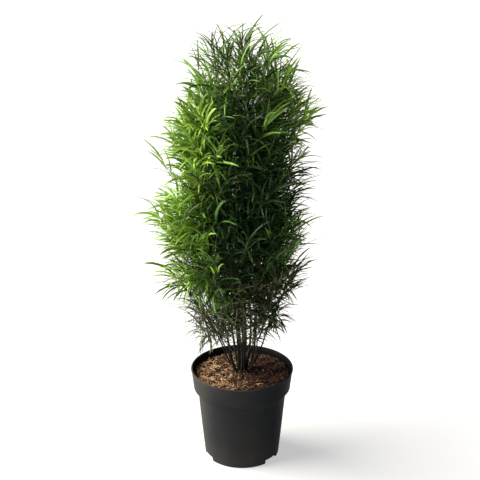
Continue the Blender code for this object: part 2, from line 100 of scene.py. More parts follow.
class Finish:
    def __init__(self, name, **plain):
        self.material = bpy.data.materials.new(name)
        self.material.use_nodes = True
        self.tree = self.material.node_tree
        self.shader = self.tree.nodes["Principled BSDF"]
        for socket, value in plain.items():
            self.shader.inputs[socket.replace("_", " ")].default_value = value

    def node(self, kind, settings=None, sockets=None, out=0):
        made = self.tree.nodes.new("ShaderNode" + kind)
        for name, value in (settings or {}).items():
            setattr(made, name, value)
        for name, value in (sockets or {}).items():
            self.feed(made.inputs[name], value)
        return Reading(self, made.outputs[out])

    def feed(self, socket, value):
        if isinstance(value, Reading):
            self.tree.links.new(value.socket, socket)
        else:
            socket.default_value = value

    def calc(self, operation, first, second):
        return self.node("Math", {"operation": operation}, {0: first, 1: second})

    def clamp(self, value):
        return self.node("Clamp", None, {"Value": value})

    def along(self, axis):
        spot = self.node("TexCoord", out="Object")
        return self.node("SeparateXYZ", None, {"Vector": spot}, out=axis)

    def place(self, stretch):
        spot = self.node("TexCoord", out="Object")
        return self.node("Mapping", None, {"Vector": spot, "Scale": stretch})

    def cloud(self, scale, detail=3.0, rough=0.55, stretch=(1.0, 1.0, 1.0)):
        sockets = {"Vector": self.place(stretch), "Scale": scale, "Detail": detail, "Roughness": rough}
        return self.node("TexNoise", None, sockets)

    def spots(self, scale, stretch):
        return self.node("TexVoronoi", None, {"Vector": self.place(stretch), "Scale": scale})

    def step(self, value, low, high):
        sockets = {"Value": value, "From Min": low, "From Max": high}
        return self.node("MapRange", {"interpolation_type": "SMOOTHSTEP"}, sockets)

    def blend(self, mask, first, second):
        first, second = (c if isinstance(c, Reading) else (*c, 1.0) for c in (first, second))
        return self.node("Mix", {"data_type": "RGBA"}, {0: mask, 6: first, 7: second}, out=2)

    def paint(self, colour):
        self.feed(self.shader.inputs["Base Color"], colour)

    def gloss(self, roughness):
        self.feed(self.shader.inputs["Roughness"], roughness)

    def relief(self, height, strength, distance):
        bump = self.node("Bump", None, {"Height": height, "Strength": strength, "Distance": distance})
        self.feed(self.shader.inputs["Normal"], bump)


def makePotPlastic():
    look = dict(
        fresh=(0.0170, 0.0180, 0.0198), faded=(0.0262, 0.0260, 0.0254), dust=(0.110, 0.092, 0.074),
        paintedShade=(0.0042, 0.0062, 0.0092), paintedSheen=(0.0460, 0.0420, 0.0350),
        inside=(0.0040, 0.0042, 0.0046), mark=(0.006, 0.006, 0.007),
    )
    finish = Finish("potPlastic", Specular_IOR_Level=0.02)
    broad = finish.cloud(9.0, 3.0, 0.6)
    streaks = finish.cloud(30.0, 4.0, 0.6, stretch=(1.0, 1.0, 0.12))
    grain = finish.cloud(1400.0, 2.0, 0.5)
    speck = finish.step(finish.cloud(160.0, 3.0, 0.7), 0.64, 0.74)
    across, deep, height = (finish.along(axis) for axis in "XYZ")
    low = 1.0 - finish.step(height, 0.0, 0.070)
    rim = finish.step(height, 0.200, 0.213)
    dirt = finish.clamp((low * 0.20 + rim * 0.24 + 0.02) * streaks + speck * (low + rim) * 0.18)
    plastic = finish.blend(finish.step(broad, 0.35, 0.72), look["fresh"], look["faded"])
    shaded = finish.step(across, 0.020, 0.092)  # painted shade: the right side, away from the sun, is darkened
    plastic = finish.blend(shaded * 0.85, plastic, look["paintedShade"])
    # painted sheen: the left side, towards the sun, is lightened
    plastic = finish.blend(finish.step(0.0 - across, 0.055, 0.100) * 0.6, plastic, look["paintedSheen"])
    radius = (across * across + deep * deep) ** 0.5
    # painted shade: the inner wall above the mulch is darkened
    innerShade = finish.step(height, 0.195, 0.199) * (1.0 - finish.step(radius, 0.1115, 0.1125))
    plastic = finish.blend(innerShade * 0.85, plastic, look["inside"])
    marks = 1.0 - finish.step(finish.spots(34.0, (1.0, 1.0, 1.4)), 0.06, 0.13)
    plastic = finish.blend(marks * finish.step(streaks, 0.46, 0.56) * 0.7, plastic, look["mark"])
    finish.paint(finish.blend(dirt, plastic, look["dust"]))
    finish.gloss(finish.clamp(0.40 + broad * 0.14 + dirt * 0.5 + grain * 0.05))
    finish.relief(grain * 0.6 + streaks * 0.4, 0.16, 0.0006)
    return finish.material


def makeStemBark():
    look = dict(
        dark=(0.008, 0.006, 0.005), grey=(0.032, 0.024, 0.020),
        red=(0.050, 0.021, 0.014), dash=(0.15, 0.11, 0.085),
    )
    finish = Finish("stemBark", Specular_IOR_Level=0.3)
    fibre = finish.cloud(260.0, 5.0, 0.65, stretch=(1.0, 1.0, 0.18))
    patch = finish.cloud(38.0, 3.0, 0.6, stretch=(1.0, 1.0, 0.4))
    dash = 1.0 - finish.step(finish.spots(190.0, (1.0, 1.0, 1.9)), 0.10, 0.24)
    young = finish.step(finish.along("Z"), 0.26, 0.62)
    older = finish.blend(finish.step(patch, 0.38, 0.68), look["dark"], look["grey"])
    skin = finish.blend(young * 0.75, older, look["red"])
    finish.paint(finish.blend(dash * finish.step(patch, 0.30, 0.55) * 0.8, skin, look["dash"]))
    finish.gloss(0.62 + fibre * 0.25)
    finish.relief(fibre + dash * 0.6, 0.55, 0.0009)
    return finish.material


def makeMottled(name, look):
    # two colours dealt out by one noise, which sets the gloss and the relief too
    finish = Finish(name, Specular_IOR_Level=look["specular"])
    patch = finish.cloud(*look["cloud"])
    finish.paint(finish.blend(finish.step(patch, *look["edges"]), look["first"], look["second"]))
    finish.gloss(look["gloss"][0] + patch * look["gloss"][1])
    finish.relief(patch, *look["relief"])
    return finish.material


shootLook = dict(
    first=(0.075, 0.085, 0.024), second=(0.066, 0.034, 0.020), edges=(0.40, 0.62),
    cloud=(60.0, 3.0, 0.6), specular=0.4, gloss=(0.48, 0.2), relief=(0.2, 0.0004),
)
soilLook = dict(
    first=(0.030, 0.018, 0.011), second=(0.130, 0.078, 0.045), edges=(0.35, 0.65),
    cloud=(240.0, 5.0, 0.7), specular=0.25, gloss=(0.85, 0.12), relief=(0.9, 0.002),
)


def makeChipWood(name, pale, deep):
    finish = Finish(name, Specular_IOR_Level=0.25)
    fibre = finish.cloud(420.0, 4.0, 0.65, stretch=(1.0, 0.35, 1.0))
    patch = finish.cloud(70.0, 2.0, 0.5)
    finish.paint(finish.blend(finish.step(fibre * 0.6 + patch * 0.4, 0.36, 0.62), deep, pale))
    finish.gloss(0.74 + fibre * 0.2)
    finish.relief(fibre, 0.6, 0.0010)
    return finish.material


# Leaf tones, dealt out by spray. Upper is the leaf's face and under its paler back.
leafTones = {
    "dull": dict(upper=(0.034, 0.040, 0.015), under=(0.050, 0.053, 0.025)),
    "deep": dict(upper=(0.008, 0.027, 0.004), under=(0.016, 0.039, 0.009)),
    "full": dict(upper=(0.040, 0.112, 0.010), under=(0.056, 0.130, 0.022)),
    "fresh": dict(upper=(0.120, 0.256, 0.018), under=(0.136, 0.258, 0.036)),
    "bright": dict(upper=(0.205, 0.370, 0.028), under=(0.220, 0.356, 0.050)),
    "pale": dict(upper=(0.270, 0.430, 0.045), under=(0.270, 0.400, 0.070)),
}


def makeLeafFinish(name, colour, roughness):
    glow = dict(Subsurface_Weight=0.06, Subsurface_Radius=(1.0, 1.0, 0.4), Subsurface_Scale=0.003)
    finish = Finish(name, Specular_IOR_Level=0.20, **glow)
    patch = finish.cloud(55.0, 2.0, 0.5)
    rib = finish.node("Attribute", {"attribute_name": "midrib"}, out="Fac") ** 5.0
    shade = tuple(0.78 * part for part in colour)
    light = tuple(min(1.0, 1.20 * part) for part in colour)
    pale = tuple(min(1.0, 1.9 * part + 0.02) for part in colour)
    blade = finish.blend(finish.step(patch, 0.36, 0.64), shade, light)
    finish.paint(finish.blend(rib * 0.7, blade, pale))
    finish.gloss(roughness + patch * 0.12)
    return finish.material


finishes = {
    "pot": makePotPlastic(),
    "stem": makeStemBark(),
    "shoot": makeMottled("shootBark", shootLook),
    "soil": makeMottled("soilUnderMulch", soilLook),
    "chipGolden": makeChipWood("chipGolden", (0.470, 0.310, 0.150), (0.180, 0.096, 0.043)),
    "chipTan": makeChipWood("chipTan", (0.138, 0.060, 0.030), (0.046, 0.020, 0.012)),
    "chipDark": makeChipWood("chipDark", (0.050, 0.026, 0.017), (0.012, 0.008, 0.006)),
}
for tone, colours in leafTones.items():
    finishes[tone + "Upper"] = makeLeafFinish(f"leaf_{tone}_upper", colours["upper"], 0.34)
    finishes[tone + "Under"] = makeLeafFinish(f"leaf_{tone}_under", colours["under"], 0.52)
print("materials made:", len(finishes))


# Mesh helpers
def addPiece(name, data, shown=True):
    piece = bpy.data.objects.new(name, data)
    piece.hide_render = not shown
    bpy.context.scene.collection.objects.link(piece)
    return piece


def meshFrom(name, points, faces, smooth=True):
    mesh = bpy.data.meshes.new(name)
    mesh.from_pydata(points, [], faces)
    mesh.validate()
    mesh.update()
    for face in mesh.polygons:
        face.use_smooth = smooth
    return mesh


def applied(piece):
    # the piece's evaluated shape as a plain mesh, in its place
    graph = bpy.context.evaluated_depsgraph_get()
    mesh = bpy.data.meshes.new_from_object(piece.evaluated_get(graph), depsgraph=graph)
    mesh.name = piece.name
    old = piece.data
    piece.modifiers.clear()
    piece.data = mesh
    if old.users == 0:
        bpy.data.meshes.remove(old)
    return piece


def drop(*pieces):
    for piece in pieces:
        bpy.data.objects.remove(piece, do_unlink=True)


def cover(piece, finish):
    piece.data.materials.clear()
    piece.data.materials.append(finishes[finish])


def ride(piece, slotName, *nodes):
    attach(piece, "root")
    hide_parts(*nodes)


def lathe(name, profile, sides):
    # closed solid turned about the pot's axis; the profile runs from the axis back to the axis
    points, faces, rows = [], [], []
    for radius, height in profile:
        count = 1 if radius < 1e-6 else sides
        rows.append(list(range(len(points), len(points) + count)))
        for k in range(count):
            turn = math.tau * k / sides
            points.append((radius * math.cos(turn), radius * math.sin(turn), height))
    for first, second in zip(rows, rows[1:]):
        for k in range(sides):
            n = (k + 1) % sides
            if len(first) == 1:
                faces.append((first[0], second[k], second[n]))
            elif len(second) == 1:
                faces.append((first[k], second[0], first[n]))
            else:
                faces.append((first[k], second[k], second[n], first[n]))
    return outwardMesh(meshFrom(name, points, faces))


def outwardMesh(mesh):
    shape = bmesh.new()
    shape.from_mesh(mesh)
    bmesh.ops.recalc_face_normals(shape, faces=shape.faces)
    shape.to_mesh(mesh)
    shape.free()
    return mesh


def ringShape(name, points, sides, smooth):
    # a closed skin over rings of points; one point left over at the end closes it in a tip
    rings, tip, faces = len(points) // sides, len(points) % sides, []
    for low in range(0, (rings - 1) * sides, sides):
        for n in range(sides):
            m = (n + 1) % sides
            faces.append((low + n, low + m, low + sides + m, low + sides + n))
    last = (rings - 1) * sides
    if tip:
        faces += [(last + n, last + (n + 1) % sides, last + sides) for n in range(sides)]
    else:
        faces.append(tuple(last + n for n in range(sides)))
    faces.append(tuple(reversed(range(sides))))
    return outwardMesh(meshFrom(name, points, faces, smooth))


def boxAt(name, turn, inner, outer, width, low, high):
    shape = bmesh.new()
    bmesh.ops.create_cube(shape, size=1.0)
    bmesh.ops.scale(shape, vec=(outer - inner, width, high - low), verts=shape.verts)
    bmesh.ops.translate(shape, vec=((inner + outer) / 2, 0.0, (low + high) / 2), verts=shape.verts)
    bmesh.ops.rotate(shape, matrix=Matrix.Rotation(turn, 3, "Z"), verts=shape.verts)
    mesh = bpy.data.meshes.new(name)
    shape.to_mesh(mesh)
    shape.free()
    return addPiece(name, mesh, shown=False)


def subtract(piece, cutters):
    for cutter in cutters:
        modifier = piece.modifiers.new("cut", "BOOLEAN")
        modifier.operation = "DIFFERENCE"
        modifier.object = cutter
        modifier.solver = "EXACT"
    applied(piece)


# Pot
pot = dict(
    height=0.213, rim=0.115, lip=0.004, lipProud=0.0012, collar=0.047, collarFoot=0.1088,
    stepDown=0.006, bodyTop=0.0992, waist=0.0004, base=0.0840, footRound=0.0024, wall=0.002,
    floor=0.003, sides=144, notches=3, firstNotch=-36.5, notchWidth=0.042, notchHeight=0.010,
    notchDepth=0.013, drainWidth=0.020, drainHeight=0.004, past=0.01, crease=32.0,
)


def potOutline():
    top, rim, lip, base = pot["height"], pot["rim"], pot["lip"], pot["base"]
    bodyTop, collarFoot, footRound = pot["bodyTop"], pot["collarFoot"], pot["footRound"]
    foot, bodyEnd = top - pot["collar"], top - pot["collar"] - pot["stepDown"]
    outline = [  # the underside stands on a ring, with a lower ring of its own
        (0.0, 0.0016), (0.050, 0.0016), (0.0512, 0.0003), (0.062, 0.0003), (0.0632, 0.0014),
        (0.0780, 0.0014), (0.0792, 0.0), (base - 0.0022, 0.0), (base - 0.0007, 0.0006),
        (base, footRound),
    ]
    for k in range(1, 13):  # body wall, with the faint waist of a moulded pot
        share = k / 12
        radius = base + (bodyTop - base) * share
        height = footRound + (bodyEnd - footRound) * share
        outline.append((radius + pot["waist"] * math.sin(math.pi * share), height))
    for k in range(6):  # the step swells out under the collar
        share = k / 5
        radius = bodyTop + (collarFoot - 0.0018 - bodyTop) * (share ** 1.3)
        outline.append((radius + 0.0006, bodyEnd + 0.0012 + (pot["stepDown"] - 0.0012) * share))
    outline += [(collarFoot - 0.0002, foot + 0.0006), (collarFoot + 0.0002, foot + 0.0020)]
    for k in range(1, 9):  # collar
        share = k / 8
        radius = collarFoot + (rim - pot["lipProud"] - collarFoot) * share
        outline.append((radius, foot + 0.0020 + (pot["collar"] - lip - 0.0028) * share))
    for k in range(9):  # rolled lip
        turn = -math.pi / 2 + math.pi * k / 8
        radius = rim - lip / 2 + lip / 2 * math.cos(turn)
        outline.append((radius, top - lip / 2 + lip / 2 * math.sin(turn)))
    return outline


def potInside(gap, top):
    foot = pot["height"] - pot["collar"]
    slope = (pot["rim"] - pot["lipProud"] - pot["collarFoot"]) / pot["collar"]
    wall = pot["wall"] + gap
    base, floor = pot["base"] - wall, pot["floor"] + gap
    return [
        (pot["collarFoot"] + (top - foot) * slope - wall, top), (pot["collarFoot"] - wall, foot + wall),
        (pot["bodyTop"] - wall, foot - pot["stepDown"] + wall / 2),
        (base, floor + 0.002), (base - 0.002, floor), (0.0, floor),
    ]


def notchBoxes(name, inner, outer, width, low, high):
    # a cutter across each of the notches at the pot's foot
    first, step = math.radians(pot["firstNotch"]), math.tau / pot["notches"]
    turns = [first + k * step for k in range(pot["notches"])]
    return [boxAt(name, turn, inner, outer, width, low, high) for turn in turns]


def makePot():
    past, wall, width, height = pot["past"], pot["wall"], pot["notchWidth"], pot["notchHeight"]
    outline = potOutline() + [(0.0, pot["height"])]
    piece = addPiece("nurseryPot", lathe("nurseryPot", outline, pot["sides"]))
    above = pot["height"] + past
    hollow = lathe("potCavity", [(0.0, above), *potInside(0.0, above)], pot["sides"])
    cavity = addPiece("potCavity", hollow, shown=False)
    inner, outer = pot["base"] - pot["notchDepth"], pot["base"] + past
    linings = notchBoxes("lining", inner - wall, outer, width + 2 * wall, -past, height + wall)
    subtract(cavity, linings)
    notches = notchBoxes("notch", inner, outer, width, -past, height)
    low = (pot["floor"] + height - pot["drainHeight"]) / 2
    high = low + pot["drainHeight"]
    drains = notchBoxes("drain", inner - 2.5 * wall, outer, pot["drainWidth"], low, high)
    subtract(piece, [cavity, *notches, *drains])
    drop(cavity, *linings, *notches, *drains)
    cover(piece, "pot")
    for face in piece.data.polygons:
        face.use_smooth = True
    piece.data.set_sharp_from_angle(angle=math.radians(pot["crease"]))
    ride(piece, "pot", "pot")


makePot()
print("pot turned and notched")


# Mulch: a heaped bed with bark chips and fibres strewn over it
mulch = dict(
    level=0.197, dome=0.003, flat=0.046, wave=0.0022, rough=0.0016, sink=0.001, rings=26, sides=110,
    gap=0.0006, lining=0.0026, reach=0.1072, chips=dict(Dark=2600, Tan=1500, Golden=600),
    sunnySide=0.36, sunnySlope=0.8, size=(0.55, 1.45), tilt=0.62, lowest=0.0004, layer=0.0005,
    heap=0.0012, overhang=0.002,
)


def mulchHeight(x, y):
    radius = math.hypot(x, y)
    dome = max(0.0, radius - mulch["flat"]) / (pot["rim"] - mulch["flat"])
    waves = math.sin(x * 95.0 + 1.3) * math.cos(y * 80.0 - 0.4) + 0.6 * math.sin((x - y) * 140.0)
    fade = min(1.0, radius / mulch["flat"]) ** 2
    rough = noise.fractal(Vector((x, y, 0.0)) * 120.0, 0.9, 2.1, 3)
    height = mulch["level"] - mulch["dome"] * dome ** 2 + mulch["wave"] * waves * fade * 0.8
    return height + mulch["rough"] * rough - mulch["sink"]


def makeMulchBed():
    level, rings, lining = mulch["level"], mulch["rings"], mulch["lining"]
    inside = potInside(mulch["gap"], level)
    profile = [(0.0, level)]
    profile += [(inside[0][0] * ((k + 1) / rings) ** 0.8, level) for k in range(rings - 1)]
    mesh = lathe("mulchBed", profile + inside, mulch["sides"])
    for corner in mesh.vertices:
        if corner.co.z > level - 0.0002:
            corner.co.z = mulchHeight(corner.co.x, corner.co.y)
    bed = addPiece("mulchBed", mesh)
    inner, outer = pot["base"] - pot["notchDepth"] - lining, pot["base"] + pot["past"]
    width, high = pot["notchWidth"] + 2 * lining, pot["notchHeight"] + lining
    rooms = notchBoxes("room", inner, outer, width, -pot["past"], high)
    subtract(bed, rooms)
    drop(*rooms)
    cover(bed, "soil")
    ride(bed, "mulch", "potting_mix")


chipSizes = (  # length, width and thickness of each kind of shred
    (0.0140, 0.0020, 0.0010), (0.0095, 0.0028, 0.0012), (0.0072, 0.0036, 0.0015),
    (0.0190, 0.0014, 0.0009), (0.0060, 0.0034, 0.0017), (0.0120, 0.0016, 0.0010),
)
shred = dict(
    rows=4, widths=(0.75, 1.15), shift=(-0.16, 0.16), bend=0.12, ragged=(-0.10, 0.10),
    uneven=(-0.12, 0.12), bevel=0.7,
)


def chipShape(k, rng):
    # a torn shred of bark, bent, and ragged at both ends
    length, width, thick = chipSizes[k]
    last, bevel, points = shred["rows"] - 1, shred["bevel"], []
    for row in range(shred["rows"]):
        share = row / last
        belly = 0.50 + 0.50 * math.sin(math.pi * min(max(share, 0.12), 0.88))
        half = width / 2 * belly * rng.uniform(*shred["widths"])
        shift = rng.uniform(*shred["shift"]) * width
        bend = shred["bend"] * length * math.sin(math.pi * share) - shred["bend"] / 2 * length
        ragged = rng.uniform(*shred["ragged"]) * length if row in (0, last) else 0.0
        for side, level in ((-1, 0.0), (1, 0.0), (bevel, 1.0), (-bevel, 1.0)):
            lift = bend + thick * (level - 0.5) + rng.uniform(*shred["uneven"]) * thick
            along = (share - 0.5) * length + ragged * (0.4 + 0.6 * level)
            points.append((shift + side * half, along, lift))
    return ringShape(f"chip_{k}", points, 4, False)


def treeFor(name, inputs):
    # an empty geometry tree, its inputs by name and the socket of its result
    tree = bpy.data.node_groups.new(name, "GeometryNodeTree")
    tree.interface.new_socket("Geometry", in_out="OUTPUT", socket_type="NodeSocketGeometry")
    for label, kind in (("Geometry", "Geometry"), *inputs):
        tree.interface.new_socket(label, in_out="INPUT", socket_type="NodeSocket" + kind)
    given, result = tree.nodes.new("NodeGroupInput"), tree.nodes.new("NodeGroupOutput")
    return tree, given.outputs, result.inputs["Geometry"]


def geometryNode(tree, kind, settings=None, **sockets):
    # adds a node, links or sets its inputs and gives its first output
    made = tree.nodes.new("GeometryNode" + kind)
    for name, value in (settings or {}).items():
        setattr(made, name, value)
    for name, value in sockets.items():
        socket = made.inputs[name.replace("_", " ")]
        if isinstance(value, bpy.types.NodeSocket):
            tree.links.new(value, socket)
        else:
            socket.default_value = value
    return made.outputs[0]


def named(tree, kind, name):
    return geometryNode(tree, "InputNamedAttribute", {"data_type": kind}, Name=name)


def addValues(mesh, name, kind, where, values):
    mesh.attributes.new(name, kind, where).data.foreach_set("value", values)


def runTree(piece, tree, values):
    # sets the tree's inputs by identifier, then turns the result into a plain mesh
    modifier = piece.modifiers.new(tree.name, "NODES")
    modifier.node_group = tree
    for item in tree.interface.items_tree:
        if item.in_out == "INPUT" and item.name in values:
            modifier[item.identifier] = values[item.name]
    return applied(piece)


def setOutTree():
    # stands a shape of the shelf on every point, by the point's own turn, size and kind
    inputs = (("Shapes", "Collection"), ("Face", "Material"), ("Back", "Material"))
    tree, given, result = treeFor("setOut", inputs)
    shapes = geometryNode(
        tree, "CollectionInfo", Collection=given["Shapes"], Separate_Children=True, Reset_Children=True,
    )
    put = geometryNode(
        tree, "InstanceOnPoints", Points=given["Geometry"], Instance=shapes, Pick_Instance=True,
        Instance_Index=named(tree, "INT", "kind"), Rotation=named(tree, "QUATERNION", "turn"),
        Scale=named(tree, "FLOAT", "size"),
    )
    real = geometryNode(tree, "RealizeInstances", Geometry=put)
    face = geometryNode(tree, "SetMaterial", Geometry=real, Material=given["Face"])
    under = named(tree, "BOOLEAN", "underside")
    back = geometryNode(tree, "SetMaterial", Geometry=face, Selection=under, Material=given["Back"])
    tree.links.new(back, result)
    return tree


def setOut(name, shelf, face, back, places, turns, sizes, kinds):
    # one joined piece of many small shapes, each with its own place, turn, size and kind
    mesh = bpy.data.meshes.new(name)
    mesh.from_pydata(places, [], [])
    addValues(mesh, "turn", "QUATERNION", "POINT", [part for turn in turns for part in turn])
    addValues(mesh, "size", "FLOAT", "POINT", sizes)
    addValues(mesh, "kind", "INT", "POINT", kinds)
    values = {"Shapes": shelf, "Face": finishes[face], "Back": finishes[back]}
    return runTree(addPiece(name, mesh), setOutNodes, values)


def makeShelf(name, meshes):
    shelf = bpy.data.collections.new(name)
    for mesh in meshes:
        shelf.objects.link(bpy.data.objects.new(mesh.name, mesh))
    return shelf


setOutNodes = setOutTree()


def strewChips():
    rng = random.Random(21)
    shelf = makeShelf("chipShelf", [chipShape(k, rng) for k in range(len(chipSizes))])
    reach, most = mulch["reach"], mulch["tilt"]
    for layer, (tone, count) in enumerate(mulch["chips"].items()):
        places, turns, sizes, kinds = [], [], [], []
        while len(places) < count:
            kind = rng.randrange(len(chipSizes))
            size = rng.uniform(*mulch["size"])
            radius, turn = reach * math.sqrt(rng.random()), rng.uniform(0.0, math.tau)
            x, y, way = radius * math.cos(turn), radius * math.sin(turn), rng.uniform(0.0, math.tau)
            # painted light: golden chips are dealt mostly to the sunlit left side
            sunny = mulch["sunnySide"] - mulch["sunnySlope"] * x / pot["rim"]
            if tone == "Golden" and rng.random() > sunny:
                continue
            half = chipSizes[kind][0] * size * 0.6
            shift = Vector((-half * math.sin(way), half * math.cos(way)))
            ends = [math.hypot(x + side * shift.x, y + side * shift.y) for side in (-1, 1)]
            if max(ends) > reach + mulch["overhang"]:
                continue
            tilt = Quaternion((rng.uniform(-1, 1), rng.uniform(-1, 1), 0.2), rng.uniform(-most, most))
            height = mulchHeight(x, y) + mulch["lowest"] + mulch["layer"] * layer
            places.append((x, y, height + rng.uniform(0.0, mulch["heap"])))
            turns.append(tilt @ Quaternion(up, way))
            sizes.append(size)
            kinds.append(kind)
        chip = "chip" + tone
        piece = setOut(f"mulchChips{tone}", shelf, chip, chip, places, turns, sizes, kinds)
        ride(piece, "mulch", "potting_mix")
    drop(*shelf.objects)


makeMulchBed()
strewChips()
print("mulch strewn")


# The crown's rule: outline, sway, stems and cells, as the solids have them
crown = dict(
    outline=(
        (0.235, 0.060), (0.300, 0.082), (0.370, 0.102), (0.430, 0.120), (0.520, 0.132),
        (0.610, 0.158), (0.700, 0.156), (0.830, 0.120), (0.930, 0.085), (1.004, 0.045),
    ),
    lean=(
        (0.250, 0.000), (0.380, -0.014), (0.560, -0.018), (0.740, -0.014),
        (0.830, 0.008), (0.930, 0.010), (1.004, 0.004),
    ),
    foot=0.235, top=1.004, tipReach=0.046, rise=0.85,
)
stemKinds = {
    "leader": dict(
        count=4, footRing=0.0078, top=0.782, topRing=0.023, thick=0.0040, thin=0.0017, turn=0.62,
    ),
    "side_stem": dict(
        count=5, footRing=0.0182, top=0.392, topRing=0.048, thick=0.0031, thin=0.0016, turn=0.93,
    ),
    "outer_stem": dict(
        count=5, footRing=0.0215, top=0.312, topRing=0.070, thick=0.0023, thin=0.0013, turn=1.58,
    ),
}
stems = dict(  # the bark's ridges and swellings have a height, and a fineness across and along
    points=7, flare=1.32, flareHeight=0.010, wander=0.0035, clumpBack=0.018, gap=0.0003, buried=0.004,
    sides=16, ringStep=0.0032, nodeStep=0.031, nodeWidth=0.0026, nodeSwell=0.14, oval=0.05,
    ridges=(0.085, 2.4, 70.0), swellings=(0.045, 5.0, 22.0),
)
tiers = {
    "skirt": dict(
        bearer="outer_stem", turn=0.0, start=None, span=(0.220, 0.318), fan=0.50, reach=(0.55, 1.15),
        stem=(0.95, 1.12), lift=0.00, spread=0.55, droop=0.55,
    ),
    "lower": dict(
        bearer="side_stem", turn=0.0, start=None, span=(0.350, 0.452), fan=0.74, reach=(0.30, 0.85),
        stem=(0.38, 0.62), lift=0.00, spread=0.10, droop=0.38,
    ),
    "middle": dict(
        bearer="leader", turn=0.25, start=0.500, span=(0.484, 0.592), fan=0.74, reach=(0.28, 0.80),
        stem=(0.32, 0.57), lift=0.20, spread=0.10, droop=0.30,
    ),
    "upper": dict(
        bearer="leader", turn=-0.20, start=0.640, span=(0.624, 0.722), fan=0.74, reach=(0.28, 0.80),
        stem=(0.32, 0.57), lift=0.30, spread=0.10, droop=0.24,
    ),
    "top": dict(
        bearer="leader", turn=-0.45, start=None, span=(0.755, 0.905), fan=0.74, reach=(0.25, 0.78),
        stem=(0.28, 0.50), lift=0.50, spread=0.10, droop=0.12,
    ),
}
longMasses = {
    "foliage_skirt_5": 1.12, "foliage_lower_3": 1.30, "foliage_lower_5": 1.15,
    "foliage_middle_3": 1.08, "foliage_upper_1": 1.20, "foliage_upper_3": 1.12,
}
twigs = dict(  # radii at the foot and the tip, then a mass's own stem and its side branches
    stem=(0.0019, 0.0009), branch=(0.0013, 0.0007), shoot=(0.00085, 0.0005), setOut=0.008,
    stemRises=(0.42, 0.88), stemStep=0.012, side=6, stray=(-0.12, 0.12), lowest=0.22, span=0.68,
    sag=0.10, tries=8, shorter=0.86,
)


def readOff(line, height):
    if height <= line[0][0]:
        return line[0][1]
    for (low, first), (high, second) in zip(line, line[1:]):
        if height <= high:
            return first + (second - first) * (height - low) / (high - low)
    return line[-1][1]


def crownCentre(height):
    return readOff(crown["lean"], height)


def crownRadius(height):
    return readOff(crown["outline"], height)


def fromCentre(point):
    return Vector((point.x - crownCentre(point.z), point.y, 0.0))


class Limb:
    def __init__(self, name, angle, points, radii):
        self.name, self.angle, self.points, self.radii = name, angle, points, radii

    def atHeight(self, height):
        # the point at this height and the way that the limb runs there, if it gets so high
        for low, high in zip(self.points, self.points[1:]):
            if low.z <= height <= high.z:
                share = (height - low.z) / (high.z - low.z)
                return low.lerp(high, share), (high - low).normalized()


def planLimb(kind, index, sizes, rng):
    angle = sizes["turn"] + index * math.tau / sizes["count"]
    foot = mulch["level"] + stems["gap"]
    top = sizes["top"] + rng.uniform(-0.012, 0.012)
    phase = rng.uniform(0.0, math.tau)
    points, radii = [], []
    for k in range(stems["points"]):
        share = k / (stems["points"] - 1)
        ring = sizes["footRing"] + (sizes["topRing"] - sizes["footRing"]) * share ** 1.05
        height = foot + (top - foot) * share ** 1.15
        wander = stems["wander"] * share * math.sin(phase + 4.0 * share)
        x = ring * math.cos(angle) - wander * math.sin(angle) + crownCentre(height) * share
        y = ring * math.sin(angle) + wander * math.cos(angle) + stems["clumpBack"] * (1.0 - share)
        points.append(Vector((x, y, height)))
        radii.append(sizes["thick"] + (sizes["thin"] - sizes["thick"]) * share)
    flareEnd = Vector((points[0].x, points[0].y, foot + stems["flareHeight"]))
    points.insert(1, flareEnd.lerp(points[1], 0.07))
    radii.insert(1, radii[0] * 0.99)
    radii[0] *= stems["flare"]
    return Limb(f"{kind}_{index + 1}", angle, points, radii)


limbRandom = random.Random(7)
limbs = {
    kind: [planLimb(kind, k, sizes, limbRandom) for k in range(sizes["count"])]
    for kind, sizes in stemKinds.items()
}


def smoothRun(points, radii, step):
    # a smooth run through a limb's points, with its radius at each
    found, thick = [], []
    count = len(points)
    for k in range(count - 1):
        a, b = points[max(0, k - 1)], points[k]
        c, d = points[k + 1], points[min(count - 1, k + 2)]
        parts = max(2, round((c - b).length / step))
        for part in range(parts if k < count - 2 else parts + 1):
            t = part / parts
            spot = 2.0 * b + (c - a) * t + (2.0 * a - 5.0 * b + 4.0 * c - d) * t * t
            found.append(0.5 * (spot + (3.0 * b - 3.0 * c + d - a) * t ** 3))
            thick.append(radii[k] + (radii[k + 1] - radii[k]) * t)
    return found, thick


def barkNoise(kind, x, y, along, phase):
    high, across, upward = stems[kind]
    return high * noise.noise(Vector((x * across, y * across, along * upward + phase)))


def barkTube(name, line, thick, phase):
    # one closed tube with ridges, swollen nodes and a slightly oval section
    sides, nodeStep = stems["sides"], stems["nodeStep"]
    points, travelled = [], 0.0
    side = (line[1] - line[0]).orthogonal().normalized()
    for k, spot in enumerate(line):
        ahead = (line[min(k + 1, len(line) - 1)] - line[max(k - 1, 0)]).normalized()
        side = (side - ahead * side.dot(ahead)).normalized()
        across = ahead.cross(side)
        if k:
            travelled += (spot - line[k - 1]).length
        past = math.fmod(travelled + phase * 0.01, nodeStep) - nodeStep / 2
        node = math.exp(-(past / stems["nodeWidth"]) ** 2)
        for n in range(sides):
            turn = math.tau * n / sides
            cos, sin = math.cos(turn), math.sin(turn)
            arm = side * cos + across * sin
            swell = 1.0 + stems["oval"] * math.cos(2 * turn + phase) + stems["nodeSwell"] * node
            swell += barkNoise("ridges", arm.x, arm.y, travelled, phase)
            swell += barkNoise("swellings", cos, sin, travelled, phase)
            points.append(spot + arm * (thick[k] * swell))
    return ringShape(name, points, sides, True)


def growStems():
    for kind, group in limbs.items():
        for k, limb in enumerate(group):
            line, thick = smoothRun(limb.points, limb.radii, stems["ringStep"])
            line[0].z -= stems["buried"]  # the foot goes down into the mulch
            name = "bark_" + limb.name
            piece = addPiece(name, barkTube(name, line, thick, k * 1.7 + len(kind)))
            cover(piece, "stem")
            ride(piece, "bark", limb.name)


growStems()
print("stems grown")


